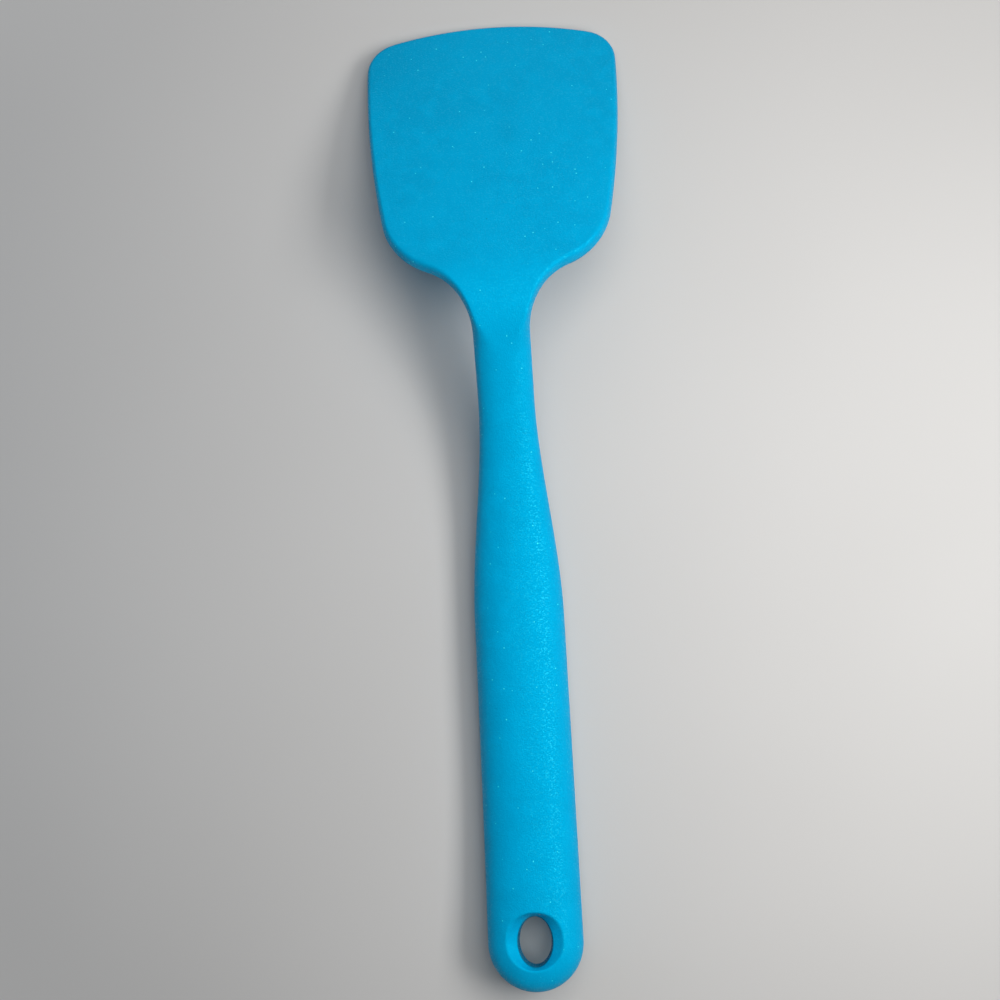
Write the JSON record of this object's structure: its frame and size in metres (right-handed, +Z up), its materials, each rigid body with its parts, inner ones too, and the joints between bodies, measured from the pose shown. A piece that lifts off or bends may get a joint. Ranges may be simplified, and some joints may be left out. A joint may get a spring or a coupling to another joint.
{
  "type": "silicone turner",
  "caption": "Kitchen turner with a broad flexible silicone blade, a cranked neck and a crowned grip that ends in a dished oval hang hole.",
  "frame": {"origin": "middle of the footprint's bounding box, on the surface that the tool lies on", "axes": "+X across the blade, +Y along the tool from the hang end to the blade's tip, +Z up from the surface"},
  "size_m": [0.0758, 0.2906, 0.0341],
  "materials": {
    "silicone": "satin-matt moulded silicone, light blue",
    "spring_steel": "cold-rolled sheet, bare",
    "nylon": "dark glass-filled moulding"
  },
  "bodies": {
    "root": {"blade_plate": "spring_steel", "handle_core": "nylon", "skin_back": "silicone", "skin_front": "silicone"}
  },
  "joints": []
}
